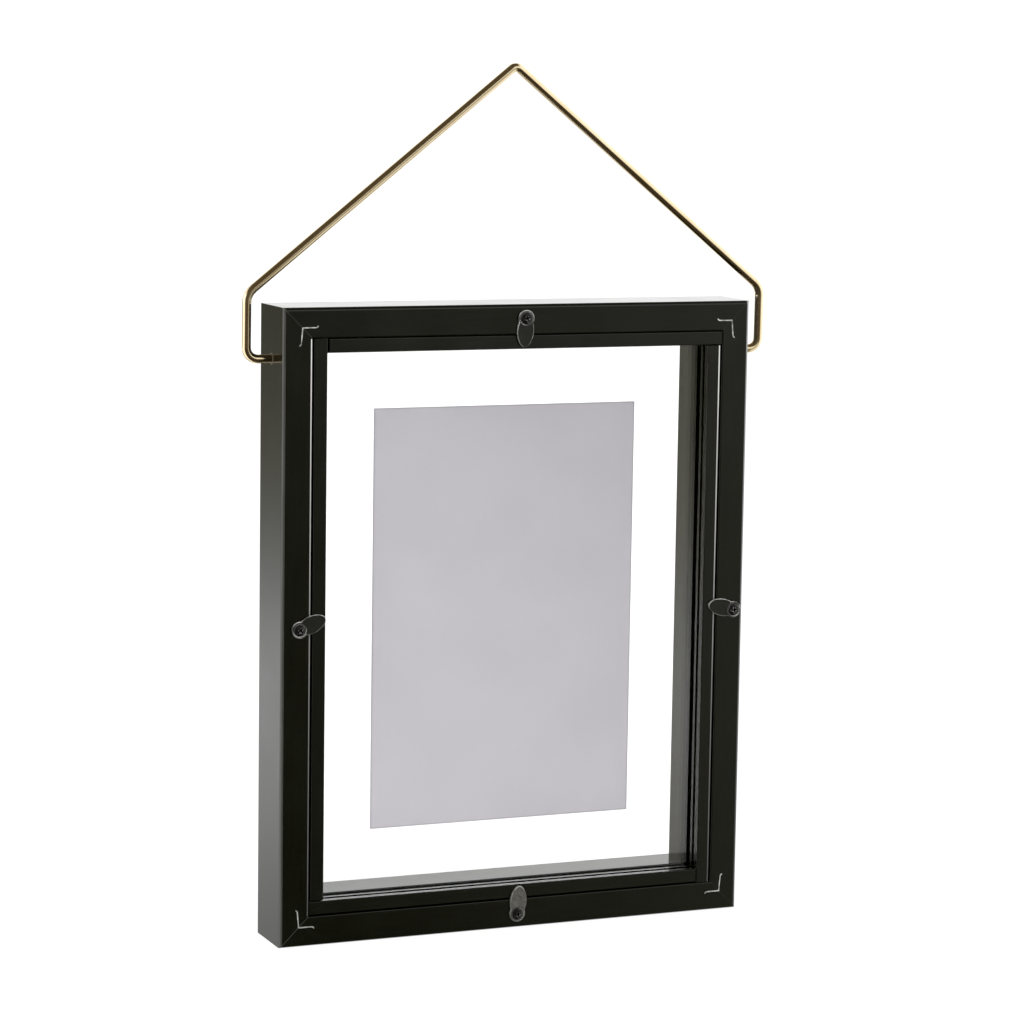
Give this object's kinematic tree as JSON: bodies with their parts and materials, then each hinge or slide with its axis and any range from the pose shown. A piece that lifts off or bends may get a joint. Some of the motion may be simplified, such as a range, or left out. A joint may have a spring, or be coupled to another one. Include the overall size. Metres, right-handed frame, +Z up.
{
  "type": "hanging double-glass photo frame",
  "caption": "Deep black rectangular frame holding a print between two clear panes, shut by turn buttons over loose strips and hung from a swinging wire hanger.",
  "frame": {"origin": "middle of the frame's bottom face, halfway between front and back", "axes": "+Z up, front faces -Y, back with the turn buttons faces +Y, left and right as seen from the front"},
  "size_m": [0.2003, 0.027, 0.309],
  "materials": {
    "lacquer": "black satin lacquer over wood or fibreboard",
    "strip_black": "black satin paint",
    "clear_glass": "clear float glass, ground edges",
    "print_paper": "matt light grey print sheet",
    "nail_steel": "bright steel sheet, cut edges showing",
    "black_screw": "blackened steel",
    "gunmetal": "blackened steel sheet, rolled edge",
    "brass_wire": "polished brass-plated wire"
  },
  "bodies": {
    "frame": {"rail_top": "lacquer", "rail_bottom": "lacquer", "rail_left": "lacquer", "rail_right": "lacquer", "strip_top": "strip_black", "strip_bottom": "strip_black", "strip_left": "strip_black", "strip_right": "strip_black", "glass_front": "clear_glass", "glass_back": "clear_glass", "photo_insert": "print_paper", "corner_v_nails": "nail_steel", "button_screws": "black_screw"},
    "hanger": {"hanger_wire": "brass_wire"},
    "turn_button_top": {"turn_button_top": "gunmetal"},
    "turn_button_bottom": {"turn_button_bottom": "gunmetal"},
    "turn_button_right": {"turn_button_right": "gunmetal"},
    "turn_button_left": {"turn_button_left": "gunmetal"}
  },
  "joints": [
    {"name": "hanger_swing", "type": "hinge", "parent": "frame", "child": "hanger", "pos_m": [0, 0, 0.2065], "axis": [1, 0, 0], "range_deg": [-149, 149]},
    {"name": "button_top_turn", "type": "hinge", "parent": "frame", "child": "turn_button_top", "pos_m": [-0.001, 0.0125, 0.2201], "axis": [0, 1, 0], "continuous": true},
    {"name": "button_bottom_turn", "type": "hinge", "parent": "frame", "child": "turn_button_bottom", "pos_m": [-0.001, 0.0125, 0.0052], "axis": [0, 1, 0], "continuous": true},
    {"name": "button_right_turn", "type": "hinge", "parent": "frame", "child": "turn_button_right", "pos_m": [0.0826, 0.0125, 0.113], "axis": [0, 1, 0], "continuous": true},
    {"name": "button_left_turn", "type": "hinge", "parent": "frame", "child": "turn_button_left", "pos_m": [-0.0849, 0.0125, 0.1122], "axis": [0, 1, 0], "continuous": true}
  ]
}
